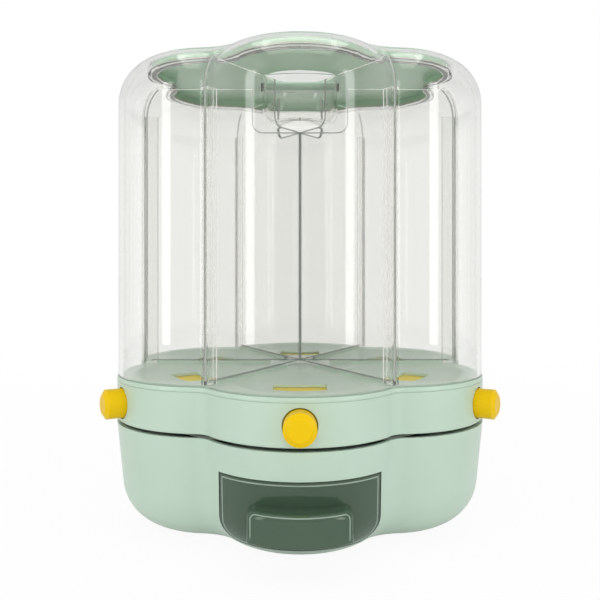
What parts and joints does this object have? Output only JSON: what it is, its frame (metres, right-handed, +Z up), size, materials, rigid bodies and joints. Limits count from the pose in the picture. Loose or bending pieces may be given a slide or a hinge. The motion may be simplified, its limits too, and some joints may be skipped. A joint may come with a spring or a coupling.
{
  "type": "rotating grain dispenser",
  "caption": "Free-standing rotating dispenser for dry grain: clear lobed barrel with dividers on a turntable with push-button gates, over a base with a drawer.",
  "frame": {"origin": "centre of the bounding box on the table plane; the turntable's axis of rotation is the Z axis", "axes": "+Z up, the drawer and the front push button face -Y, +X to the right seen from the front"},
  "size_m": [0.2698, 0.304, 0.327],
  "materials": {
    "mint_body": "satin moulded",
    "inner_plastic": "matte moulded",
    "clear_plastic": "clear polished",
    "lid_green": "translucent satin",
    "grip_green": "satin moulded",
    "silicone": "soft satin",
    "yellow_plastic": "glossy moulded",
    "smoke_plastic": "smoked translucent",
    "rubber": "matte",
    "steel": "plain zinc-coated"
  },
  "bodies": {
    "base": {"base_shell": "mint_body", "rubber_feet": "rubber", "deck_screws": "steel", "base_deck": "inner_plastic", "pivot_bush": "inner_plastic", "bearing_lower_race": "steel"},
    "bearing": {"bearing_cage": "inner_plastic", "bearing_rollers": "steel"},
    "turntable": {"turntable_pan": "mint_body", "bearing_upper_race": "steel", "pivot_washer": "steel", "pivot_screw": "steel", "hopper_floor": "mint_body", "floor_screws": "steel", "barrel": "clear_plastic", "divider_star": "clear_plastic", "gate_spring_1": "steel", "gate_spring_2": "steel", "gate_spring_3": "steel", "gate_spring_4": "steel", "gate_spring_5": "steel", "gate_spring_6": "steel"},
    "lid": {"lid": "lid_green", "lid_seal": "silicone", "lid_cup": "clear_plastic", "grip_bar": "grip_green", "grip_screws": "steel"},
    "drawer": {"drawer": "smoke_plastic"},
    "button_1": {"push_button_1": "yellow_plastic", "gate_slide_1": "yellow_plastic"},
    "button_2": {"push_button_2": "yellow_plastic", "gate_slide_2": "yellow_plastic"},
    "button_3": {"push_button_3": "yellow_plastic", "gate_slide_3": "yellow_plastic"},
    "button_4": {"push_button_4": "yellow_plastic", "gate_slide_4": "yellow_plastic"},
    "button_5": {"push_button_5": "yellow_plastic", "gate_slide_5": "yellow_plastic"},
    "button_6": {"push_button_6": "yellow_plastic", "gate_slide_6": "yellow_plastic"}
  },
  "joints": [
    {"name": "turntable_spin", "type": "hinge", "parent": "base", "child": "turntable", "pos_m": [0, 0, 0.0752], "axis": [0, 0, 1], "continuous": true},
    {"name": "bearing_spin", "type": "hinge", "parent": "base", "child": "bearing", "pos_m": [0, 0, 0.0721], "axis": [0, 0, 1], "continuous": true},
    {"name": "drawer_slide", "type": "slide", "parent": "base", "child": "drawer", "axis": [0, -1, 0], "range_m": [0, 0.085]},
    {"name": "lid_lift", "type": "slide", "parent": "turntable", "child": "lid", "axis": [0, 0, 1], "range_m": [0, 0.12]},
    {"name": "button_1_press", "type": "slide", "parent": "turntable", "child": "button_1", "axis": [0, 1, 0], "range_m": [0, 0.0125], "stiffness_N_per_m": 180, "springref_m": -0.012, "deforming": ["gate_spring_1"]},
    {"name": "button_2_press", "type": "slide", "parent": "turntable", "child": "button_2", "axis": [-0.866, 0.5, 0], "range_m": [0, 0.0125], "stiffness_N_per_m": 180, "springref_m": -0.012, "deforming": ["gate_spring_2"]},
    {"name": "button_3_press", "type": "slide", "parent": "turntable", "child": "button_3", "axis": [-0.866, -0.5, 0], "range_m": [0, 0.0125], "stiffness_N_per_m": 180, "springref_m": -0.012, "deforming": ["gate_spring_3"]},
    {"name": "button_4_press", "type": "slide", "parent": "turntable", "child": "button_4", "axis": [0, -1, 0], "range_m": [0, 0.0125], "stiffness_N_per_m": 180, "springref_m": -0.012, "deforming": ["gate_spring_4"]},
    {"name": "button_5_press", "type": "slide", "parent": "turntable", "child": "button_5", "axis": [0.866, -0.5, 0], "range_m": [0, 0.0125], "stiffness_N_per_m": 180, "springref_m": -0.012, "deforming": ["gate_spring_5"]},
    {"name": "button_6_press", "type": "slide", "parent": "turntable", "child": "button_6", "axis": [0.866, 0.5, 0], "range_m": [0, 0.0125], "stiffness_N_per_m": 180, "springref_m": -0.012, "deforming": ["gate_spring_6"]}
  ],
  "couplings": [
    {"joint": "bearing_spin", "follows": "turntable_spin", "ratio": 0.5}
  ]
}
